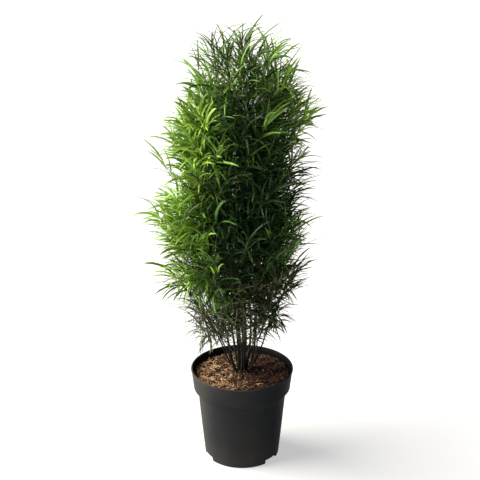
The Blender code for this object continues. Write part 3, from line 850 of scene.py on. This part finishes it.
def wayAt(angle):
    return Vector((math.cos(angle), math.sin(angle), 0.0))


def dealt(k, start, step=0.618):
    # shares of 1 that are dealt out evenly, one after the other
    return math.fmod(start + k * step, 1.0)


class Cell:
    def __init__(self, tier, angle, halfAngle, stretch):
        self.tier, self.angle, self.halfAngle, self.stretch = tier, angle, halfAngle, stretch
        self.outward = wayAt(angle)


def fanPoint(tier, cell, rise, side, depth):
    low, high = tier["span"]
    level, radius = low + (high - low) * rise, 0.06
    for _ in range(4):
        height = level + crown["rise"] * radius
        radius = depth * crownRadius(height)
    angle = cell.angle + cell.halfAngle * tier["fan"] * side
    return Vector((radius * math.cos(angle) + crownCentre(height), radius * math.sin(angle), height))


def pointAlong(points, share):
    lengths = [(b - a).length for a, b in zip(points, points[1:])]
    left = share * sum(lengths)
    for a, b, length in zip(points, points[1:], lengths):
        if left <= length:
            return a.lerp(b, left / length)
        left -= length
    return points[-1].copy()


def massStart(tier, limb, cell):
    # a mass sets out from its limb's tip, or outward from part of the way up it
    if tier["start"] is None:
        tip = limb.points[-1]
        heading = (tip - limb.points[-2]).normalized()
        return tip - heading * 0.002, heading
    point, along = limb.atHeight(tier["start"])
    return point, (cell.outward - along * cell.outward.dot(along)).normalized()


def massNodes(tierName):
    return [node for node in frame["nodes"] if node.startswith("foliage_" + tierName)]


# Finer growth: shoots off every twig and leader, and leaves by the golden angle up every shoot
growth = dict(
    fine=5, fineLength=0.060, fineLengths=(0.6, 1.4), fineAngle=0.62, fineAngles=(0.7, 1.3),
    fineTurns=(-0.4, 0.4), fineLift=0.55, fineUp=0.6, fineFrom=0.15, fineSpan=0.82, shootParts=4,
    shootTries=7, shootShorter=0.82, bareBranch=0.30, bareShoot=0.10, shootTop=0.888, shootInset=0.004,
    shootFoot=0.02, topLumps=0.06, fill=0.93, waist=0.90, waistHeight=0.82, waistHalf=0.10,
    lumps=0.30, lumpTurns=3.0, lumpRows=15.0, leafStep=0.0050, leafLength=0.086, bareLegs=0.044,
    legHeight=0.330, frontFoot=0.046, hem=0.044, spill=0.008, slimMore=1.25, dentWidth=0.032,
    wild=0.16, wildLonger=1.5, wildReach=0.030, stray=0.06, strayLonger=1.30, strayReach=0.016,
    leaderStep=0.0135, leaderSteps=(0.7, 1.3), leaderFrom=0.43, leaderTo=0.77,
    leaderShoot=(0.060, 0.105), leaderLift=0.45, leaderUp=(0.35, 0.9),
)
leafing = dict(  # how far leaves stray from their tier's rule, and what each new try at one changes
    turns=(-0.3, 0.3), angles=(0.7, 1.35), firstAngle=1.15, angleLoss=0.70, outward=(-0.25, 0.20),
    lengths=(0.7, 1.15), firstLength=0.58, lengthGain=0.42, droops=(0.4, 1.4), tipOut=0.22,
    tipReach=0.92, tries=5, tryTurn=0.37, tryShorter=0.07,
)
leaderTiers = (("middle", 0.56), ("upper", 0.70), ("top", 1.00))  # up to which height each one reaches
dress = {  # how densely each tier's shoots are leaved, and the leaves' length, angle, rise, roll and curl
    "skirt": dict(density=0.31, long=1.14, angle=0.74, rise=0.85, roll=0.3, curl=(0.40, 0.82)),
    "lower": dict(density=1.10, long=0.92, angle=1.00, rise=0.36, roll=0.4, curl=(0.30, 0.85)),
    "middle": dict(density=0.92, long=0.98, angle=1.05, rise=0.26, roll=0.5, curl=(0.20, 0.80)),
    "upper": dict(density=0.88, long=0.96, angle=1.08, rise=0.30, roll=0.5, curl=(0.15, 0.80)),
    "top": dict(density=0.27, long=0.98, angle=1.16, rise=0.34, roll=0.8, curl=(0.25, 0.95)),
}
dents = {  # height and depth of the outline's hollows at its two sides; a swelling's depth is negative
    math.pi: (
        (0.940, -0.026), (0.815, 0.030), (0.655, 0.084), (0.590, -0.016), (0.525, 0.036),
        (0.470, 0.010), (0.305, -0.030),
    ),
    0.0: (
        (0.940, -0.026), (0.885, 0.020), (0.820, 0.012), (0.757, 0.018), (0.650, -0.030),
        (0.590, -0.016), (0.530, 0.034), (0.470, 0.022), (0.300, 0.016),
    ),
}
paintedSunlight = (  # painted light: how much brighter the tone is dealt, from the shaded side, at -1, to the sunny side, at 1
    (-1.0, 0.08), (-0.50, 0.07), (-0.20, -0.24), (0.05, -0.18), (0.22, 0.16), (0.45, 0.80),
    (0.70, 1.04), (1.0, 0.50),
)
youthAndLight = dict(  # what makes a spray's tone younger or older, by its share of the crown's radius and height, and the painted light and shade dealt by its side towards the sun and the camera
    least=-0.45, outer=0.80, high=0.62, front=0.20, low=1.7, lowEnd=0.41, shaded=2.0, shadedFrom=0.62,
    sunFrom=0.06, sunSpan=0.32, sunEnd=0.66, sunFade=4.6, sunReach=1.6, luck=(-0.28, 0.28),
)
toneLeast = (("bright", 0.82), ("fresh", 0.56), ("full", 0.30))
dullSprays = dict(share=1.32, fade=3.2, sun=0.40, top=3.6, topFrom=0.83)
paleSprays = dict(share=0.014, above=0.25, leaves=2)
slimTones = ("dull", "deep")  # these sprays have slimmer leaves, and more of them


def dentAt(point):
    # how far the outline lies in from the solids' rounded one
    arm, depth = fromCentre(point), 0.0
    turn = math.atan2(arm.y, arm.x)
    for side, hollows in dents.items():
        for height, most in hollows:
            near = math.exp(-((point.z - height) / growth["dentWidth"]) ** 2)
            depth += most * near * max(0.0, math.cos(turn - side))
    return depth


def leafHolds(point, stretch, more):
    # leaves may stand out of the crown about as far as the solids' leaves do
    arm, spill = fromCentre(point), growth["spill"]
    reach = crownRadius(point.z) + crown["tipReach"] * stretch ** 2 - dentAt(point) + more
    legs = point.z < growth["legHeight"] and arm.length < growth["bareLegs"]
    way = arm / max(arm.length, 0.001)
    foot = crown["foot"] + growth["hem"] * (1.0 - abs(way.x)) + growth["frontFoot"] * max(0.0, -way.y)
    boxed = all(low - spill < part < high + spill for low, part, high in zip(cadLow, point, cadHigh))
    return arm.length < reach and boxed and not legs and foot < point.z < crown["top"] + spill


def shootHolds(point, stretch, more=0.0):
    # shoots end inside the dense foliage, under a lumpy outline
    arm = fromCentre(point)
    turn = math.atan2(arm.y, arm.x)
    fine, rows = growth["lumpTurns"], growth["lumpRows"]
    lump = noise.noise(Vector((math.cos(turn) * fine, math.sin(turn) * fine, point.z * rows)))
    near = max(0.0, growth["waistHalf"] - abs(point.z - growth["waistHeight"]))
    fill = growth["fill"] - growth["waist"] * near
    more -= dentAt(point)
    reach = crownRadius(point.z) * (fill + growth["lumps"] * lump) * stretch
    low = crown["foot"] + growth["shootFoot"]
    high = growth["shootTop"] + growth["topLumps"] * lump + more
    return low < point.z < high and arm.length < reach - growth["shootInset"] + more


def curvedTwig(base, goal, sag):
    # a twig that sets out low and lifts towards its goal
    middle = base.lerp(goal, 0.5) - up * (sag * (goal - base).length)
    return [base.lerp(middle, t).lerp(middle.lerp(goal, t), t) for t in (0.0, 0.25, 0.5, 0.75, 1.0)]


def growShoot(base, heading, length, lift, stretch, more):
    parts = growth["shootParts"]
    for _ in range(growth["shootTries"]):
        line, ahead = [base.copy()], heading.normalized()
        for _ in range(parts):
            line.append(line[-1] + ahead * (length / parts))
            ahead = (ahead + up * lift / parts).normalized()
        if shootHolds(line[-1], stretch, more):
            return line
        length *= growth["shootShorter"]
    return None


def toneOf(point, rng):
    # young and bright at the outside and the top; painted light on the sunny side and the shaded side's
    # top, painted shade at the front; deep green inside the crown
    arm = fromCentre(point)
    outer = arm.length / crownRadius(point.z)
    height = (point.z - crown["foot"]) / (crown["top"] - crown["foot"])
    sunny = -arm.x / crownRadius(point.z)
    front = max(0.0, -arm.y / crownRadius(point.z))
    # painted shade: sprays at the front are dealt darker tones
    ageAndLight = youthAndLight["least"] + youthAndLight["outer"] * outer + youthAndLight["high"] * height ** 3 - youthAndLight["front"] * front
    ageAndLight -= youthAndLight["low"] * max(0.0, youthAndLight["lowEnd"] - height)
    # painted light: the upper part of the shaded side is dealt brighter tones
    ageAndLight += youthAndLight["shaded"] * max(0.0, height - youthAndLight["shadedFrom"]) * max(0.0, -sunny)
    # painted light: sprays towards the sunny side are dealt brighter tones, less so near the top
    lit = min(1.0, max(0.0, (height - youthAndLight["sunFrom"]) / youthAndLight["sunSpan"]))
    lit *= readOff(paintedSunlight, sunny) * outer ** youthAndLight["sunReach"]
    ageAndLight += lit * (1.0 - youthAndLight["sunFade"] * max(0.0, height - youthAndLight["sunEnd"]))
    ageAndLight += rng.uniform(*youthAndLight["luck"])
    luck = rng.random()
    if luck < paleSprays["share"] and height > paleSprays["above"]:
        return "pale"
    # painted light: fewer dull sprays on the sunny side
    share = dullSprays["share"] - dullSprays["fade"] * height - dullSprays["sun"] * max(0.0, sunny)
    if luck < share or luck < dullSprays["top"] * (height - dullSprays["topFrom"]):
        return "dull"
    for name, least in toneLeast:
        if ageAndLight > least:
            return name
    return "deep"


def growCrown():
    lines, leaves = [], []
    for tierName, tier in tiers.items():
        bearers = limbs[tier["bearer"]]
        for index, limb in enumerate(bearers):
            name = f"foliage_{tierName}_{index + 1}"
            angle, stretch = limb.angle + tier["turn"], longMasses.get(name, 1.0)
            cell = Cell(tierName, angle, math.pi / len(bearers), stretch)
            growMass(tier, limb, cell, lines, leaves, random.Random(name))
    for limb in limbs["leader"]:
        growLeaderShoots(limb, lines, leaves, random.Random(limb.name))
    return lines, leaves


def addLine(lines, points, kind, tierName):
    thick, thin = twigs[kind]
    lines.append(dict(points=points, thick=thick, thin=thin, tier=tierName, shoot=kind == "shoot"))


def branchOff(along, spin, angle):
    # the way that leaves a twig at this angle, on the side that the spin turns to
    square = Quaternion(along, spin) @ along.orthogonal().normalized()
    return along * math.cos(angle) + square * math.sin(angle)


def growMass(tier, limb, cell, lines, leaves, rng):
    start, heading = massStart(tier, limb, cell)
    shallow, deep = tier["reach"]
    rises = zip(twigs["stemRises"], tier["stem"])
    middle, end = (fanPoint(tier, cell, rise, 0.0, depth) for rise, depth in rises)
    stem = [start, start + heading * twigs["setOut"], middle, end]
    own = smoothRun(stem, [1.0] * 4, twigs["stemStep"])[0]
    addLine(lines, own, "stem", cell.tier)
    branches = [own[len(own) // 3:]]
    for k in range(twigs["side"]):
        rise = (k + 0.5) / twigs["side"]
        side = 2.0 * dealt(k, 0.31) - 1.0 + rng.uniform(*twigs["stray"])
        depth = shallow + (deep - shallow) * dealt(k, 0.62, 0.755)
        goal = fanPoint(tier, cell, rise, side, depth * cell.stretch)
        base = pointAlong(stem, twigs["lowest"] + twigs["span"] * rise)
        for _ in range(twigs["tries"]):
            if shootHolds(goal, cell.stretch):
                break
            goal = base.lerp(goal, twigs["shorter"])
        branches.append(curvedTwig(base, goal, twigs["sag"]))
        addLine(lines, branches[-1], "branch", cell.tier)
    turn, lift = 0, growth["fineLift"] * (1.0 + tier["lift"])
    for branch in branches:
        along = (branch[-1] - branch[0]).normalized()
        for k in range(growth["fine"]):
            share = growth["fineFrom"] + growth["fineSpan"] * (k + rng.random()) / growth["fine"]
            base = pointAlong(branch, share)
            spin = turn * goldenTurn + rng.uniform(*growth["fineTurns"])
            turn += 1
            angle = growth["fineAngle"] * rng.uniform(*growth["fineAngles"])
            heading = branchOff(along, spin, angle) + up * lift * growth["fineUp"]
            length = growth["fineLength"] * cell.stretch * rng.uniform(*growth["fineLengths"])
            addShoot(base, heading, length, lift, cell.tier, cell.stretch, lines, leaves, rng)
        leafUp(branch, growth["bareBranch"], cell.tier, cell.stretch, leaves, rng)


def addShoot(base, heading, length, lift, tierName, stretch, lines, leaves, rng):
    more = 0.0
    if rng.random() < growth["wild"]:  # some shoots run on out of the crown
        length, more = growth["wildLonger"] * length, growth["wildReach"]
    shoot = growShoot(base, heading, length, lift, stretch, more)
    if shoot is not None:
        addLine(lines, shoot, "shoot", tierName)
        leafUp(shoot, growth["bareShoot"], tierName, stretch, leaves, rng)


def growLeaderShoots(limb, lines, leaves, rng):
    # leafy shoots straight off a leader close the crown between the masses
    height, turn = growth["leaderFrom"], rng.uniform(0.0, math.tau)
    while height < growth["leaderTo"] and limb.atHeight(height):
        base = limb.atHeight(height)[0]
        turn += goldenTurn
        tierName = next(name for name, end in leaderTiers if height < end)
        length = rng.uniform(*growth["leaderShoot"])
        heading = wayAt(turn) + up * rng.uniform(*growth["leaderUp"])
        addShoot(base, heading, length, growth["leaderLift"], tierName, 1.0, lines, leaves, rng)
        height += growth["leaderStep"] * rng.uniform(*growth["leaderSteps"])


def leafUp(line, bare, tierName, stretch, leaves, rng):
    tier, look = tiers[tierName], dress[tierName]
    length = sum((b - a).length for a, b in zip(line, line[1:]))
    spray = toneOf(line[-1], rng)
    density = look["density"] * (growth["slimMore"] if spray in slimTones else 1.0)
    count = max(3, round(length * (1.0 - bare) / growth["leafStep"] * density))
    count = paleSprays["leaves"] if spray == "pale" else count
    first = rng.uniform(0.0, math.tau)
    for k in range(count + 2):
        share = min(1.0, bare + (1.0 - bare) * (k + 0.5) / count)
        longer, more = 1.0, 0.0
        if rng.random() < growth["stray"]:
            longer, more = growth["strayLonger"], growth["strayReach"]
        base = pointAlong(line, share)
        ahead, behind = pointAlong(line, min(1.0, share + 0.05)), pointAlong(line, share - 0.08)
        along = (ahead - behind).normalized()
        outward = fromCentre(base).normalized()
        angles = look["angle"] * (leafing["firstAngle"] - leafing["angleLoss"] * share)
        lengths = growth["leafLength"] * look["long"]
        lengths *= leafing["firstLength"] + leafing["lengthGain"] * share
        for attempt in range(leafing["tries"]):
            spin = first + (k + attempt * leafing["tryTurn"]) * goldenTurn
            spin += rng.uniform(*leafing["turns"])
            heading = branchOff(along, spin, angles * rng.uniform(*leafing["angles"]))
            heading += outward * (tier["spread"] + rng.uniform(*leafing["outward"])) + up * look["rise"]
            heading.normalize()
            long = lengths * rng.uniform(*leafing["lengths"])
            long *= longer * (1.0 - leafing["tryShorter"] * attempt)
            droop = tier["droop"] * rng.uniform(*leafing["droops"])
            reach = heading + outward * leafing["tipOut"] - up * droop
            tip = base + reach * (long * leafing["tipReach"])
            if leafHolds(tip, stretch, more) and leafHolds(base.lerp(tip, 0.5), stretch, more):
                arch, roll = rng.uniform(*look["curl"]), rng.uniform(-1.0, 1.0) * look["roll"]
                leaves.append(dict(
                    base=base, heading=heading, long=long, arch=arch, roll=roll, tone=spray,
                    tier=tierName, pick=rng.random(),
                ))
                break


# Leaf shapes: long narrow blades with a wavy edge, a sunken midrib and a thin stalk; half are broader
blade = dict(
    kinds=10, stations=6, slim=(0.034, 0.056), broad=(0.044, 0.076), fold=0.16, thick=0.0046,
    wave=0.14, waveRate=(4.5, 8.0), roll=1.1, bend=(-0.50, 0.50), twist=(-0.8, 0.8), arch=0.12,
    archStep=0.20, archGain=1.15, stalk=0.10, stalkEnd=0.03, widening=0.16, shoulder=0.7, taper=3.6,
    tip=0.85, tipThick=0.45,
)


def leafShape(k, rng):
    # kinds run from nearly straight to strongly arched
    arch = blade["arch"] + blade["archStep"] * (k % blade["kinds"])
    least, most = blade["slim"] if k < blade["kinds"] else blade["broad"]
    ratio = least + (most - least) * dealt(k, 0.2)
    bend, twist = rng.uniform(*blade["bend"]), rng.uniform(*blade["twist"])
    roll = blade["roll"] * (2.0 * dealt(k, 0.5) - 1.0)
    waves = [(rng.uniform(*blade["waveRate"]), rng.uniform(0.0, math.tau)) for _ in range(2)]
    points, spot, parts = [], Vector((0.0, 0.0, 0.0)), blade["stations"] + 1
    for row in range(parts + 1):
        t = row / parts
        pitch, yaw = -arch * t ** blade["archGain"], bend * t
        level = math.cos(pitch)
        ahead = Vector((math.sin(yaw) * level, math.cos(yaw) * level, math.sin(pitch)))
        side = Quaternion(ahead, roll + twist * t) @ Vector((math.cos(yaw), -math.sin(yaw), 0.0))
        above = side.cross(ahead)
        body = min(1.0, max(blade["stalk"], (t - blade["stalkEnd"]) / blade["widening"]))
        body = body ** blade["shoulder"] * max(0.0, 1.0 - t ** blade["taper"]) ** blade["tip"]
        left, right = (
            ratio / 2 * body * (1.0 + blade["wave"] * math.sin(rate * math.tau * t + phase))
            for rate, phase in waves
        )
        fold = blade["fold"] * ratio * body
        thick = blade["thick"] * (blade["tipThick"] + (1.0 - blade["tipThick"]) * (1.0 - t))
        if row == parts:
            points.append(spot.copy())
        else:
            points += [spot - side * left, spot - above * fold + above * thick * 0.2]
            points += [spot + side * right, spot - above * (fold + thick)]
        spot = spot + ahead / parts
    mesh = ringShape(f"leafKind_{k:02d}", points, 4, True)
    count, rows = len(mesh.polygons), (parts - 1) * 4
    backs = [(n if n < rows else n - rows) % 4 in (2, 3) for n in range(rows + 4)] + [False]
    addValues(mesh, "underside", "BOOLEAN", "FACE", backs[:count])
    ribs = [1.0 if n % 4 in (1, 3) or n == len(points) - 1 else 0.0 for n in range(len(points))]
    addValues(mesh, "midrib", "FLOAT", "POINT", ribs)
    ends = [sorted(edge.vertices) for edge in mesh.edges]
    creases = [low % 4 in (0, 2) and high - low == 4 for low, high in ends]
    addValues(mesh, "sharp_edge", "BOOLEAN", "EDGE", creases)
    return mesh


def leafTurn(leaf):
    # the blade runs along its own +Y, with its face towards +Z
    ahead = leaf["heading"]
    face = (up - ahead * ahead.dot(up)).normalized()
    face = Quaternion(ahead, leaf["roll"]) @ face
    side = ahead.cross(face)
    return Matrix((side, ahead, face)).transposed().to_quaternion()


def dressLeaves(leaves):
    rng = random.Random(11)
    shelf = makeShelf("leafShelf", [leafShape(k, rng) for k in range(2 * blade["kinds"])])
    last, total = blade["kinds"] - 1, 0
    for tierName in tiers:
        for tone in leafTones:
            chosen = [leaf for leaf in leaves if leaf["tier"] == tierName and leaf["tone"] == tone]
            if not chosen:
                continue
            first = 0 if tone in slimTones or tierName in ("skirt", "top") else blade["kinds"]
            kinds = [
                first + min(last, int(leaf["arch"] * (last - 2) + leaf["pick"] * 3.0)) for leaf in chosen
            ]
            piece = setOut(
                f"leaves_{tierName}_{tone}", shelf, tone + "Upper", tone + "Under",
                [leaf["base"] for leaf in chosen], [leafTurn(leaf) for leaf in chosen],
                [leaf["long"] for leaf in chosen], kinds,
            )
            ride(piece, "foliage", *massNodes(tierName))
            total += sum(len(face.vertices) - 2 for face in piece.data.polygons)
    drop(*shelf.objects)
    print("leaves:", len(leaves), "triangles:", total)


def twigTree():
    # round tubes along runs of points, by each point's own thickness
    tree, given, result = treeFor("twigTubes", (("Sides", "Int"), ("Material", "Material")))
    runs = geometryNode(tree, "MeshToCurve", Mesh=given["Geometry"])
    ring = geometryNode(tree, "CurvePrimitiveCircle", Resolution=given["Sides"], Radius=1.0)
    thick = named(tree, "FLOAT", "thick")
    tube = geometryNode(
        tree, "CurveToMesh", Curve=runs, Profile_Curve=ring, Scale=thick, Fill_Caps=True,
    )
    real = geometryNode(tree, "RealizeInstances", Geometry=tube)
    tree.links.new(geometryNode(tree, "SetMaterial", Geometry=real, Material=given["Material"]), result)
    return tree


def dressTwigs(lines):
    tree = twigTree()
    for tierName in tiers:
        for name, finish, sides in (("twigs", "stem", 7), ("shoots", "shoot", 5)):
            points, edges, thick = [], [], []
            for line in lines:
                if line["tier"] != tierName or line["shoot"] != (finish == "shoot"):
                    continue
                count = len(line["points"])
                for k, spot in enumerate(line["points"]):
                    if k:
                        edges.append((len(points) - 1, len(points)))
                    points.append(spot)
                    thick.append(line["thick"] + (line["thin"] - line["thick"]) * k / (count - 1))
            mesh = bpy.data.meshes.new(f"{name}_{tierName}")
            mesh.from_pydata(points, edges, [])
            addValues(mesh, "thick", "FLOAT", "POINT", thick)
            piece = addPiece(mesh.name, mesh)
            runTree(piece, tree, {"Sides": sides, "Material": finishes[finish]})
            ride(piece, "bark", *massNodes(tierName))
    print("twigs and shoots:", len(lines))


crownLines, crownLeaves = growCrown()
dressTwigs(crownLines)
dressLeaves(crownLeaves)


# Floor, light and camera
studio = dict(
    floorSize=400.0, floorColour=(0.38, 0.38, 0.38), floorGlow=0.50, backdrop=(1.0, 1.0, 1.0),
    worldStrength=0.15, worldColour=(0.86, 0.94, 1.0),
    sunFrom=(-0.97, 0.08, 0.66), sunPower=11.0, sunSoftness=62.0, sunColour=(1.0, 0.965, 0.90),
)
view = dict(place=(0.0, -2.6, 1.54), pitch=21.42, yaw=0.10, focal=1289.0, width=480.0, sensor=36.0)


def makeFloor():
    half = studio["floorSize"] / 2
    corners = [(-half, -half, 0.0), (half, -half, 0.0), (half, half, 0.0), (-half, half, 0.0)]
    mesh = meshFrom("studioFloor", corners, [(0, 1, 2, 3)])
    colour = (*studio["floorColour"], 1.0)
    glow = dict(Emission_Color=(1.0, 1.0, 1.0, 1.0), Emission_Strength=studio["floorGlow"])
    finish = Finish("studioFloor", Base_Color=colour, Roughness=1.0, Specular_IOR_Level=0.0, **glow)
    mesh.materials.append(finish.material)
    addPiece("studioFloor", mesh)


def makeStudio():
    makeFloor()
    lamp = bpy.data.lights.new("keySun", "SUN")
    lamp.energy, lamp.color = studio["sunPower"], studio["sunColour"]
    lamp.angle = math.radians(studio["sunSoftness"])
    holder = addPiece("keySun", lamp)
    holder.rotation_euler = (-Vector(studio["sunFrom"])).to_track_quat("-Z", "Y").to_euler()
    world = bpy.data.worlds.new("studioWorld")
    world.use_nodes = True
    nodes, links = world.node_tree.nodes, world.node_tree.links
    dim, backdrop = nodes["Background"], nodes.new("ShaderNodeBackground")
    dim.inputs["Color"].default_value = (*studio["worldColour"], 1.0)
    dim.inputs["Strength"].default_value = studio["worldStrength"]
    backdrop.inputs["Color"].default_value = (*studio["backdrop"], 1.0)
    rays, either = nodes.new("ShaderNodeLightPath"), nodes.new("ShaderNodeMixShader")
    links.new(rays.outputs["Is Camera Ray"], either.inputs[0])  # a pale backdrop that lights nothing
    links.new(dim.outputs[0], either.inputs[1])
    links.new(backdrop.outputs[0], either.inputs[2])
    links.new(either.outputs[0], nodes["World Output"].inputs["Surface"])
    bpy.context.scene.world = world
    bpy.context.scene.view_settings.view_transform = "Standard"


def makeCamera():
    lens = bpy.data.cameras.new("viewCamera")
    lens.sensor_width = view["sensor"]
    lens.lens = view["focal"] / view["width"] * view["sensor"]
    camera = addPiece("viewCamera", lens)
    camera.location = view["place"]
    camera.rotation_euler = (math.radians(90.0 - view["pitch"]), 0.0, math.radians(view["yaw"]))
    bpy.context.scene.camera = camera


makeStudio()
makeCamera()
print("studio and camera set")
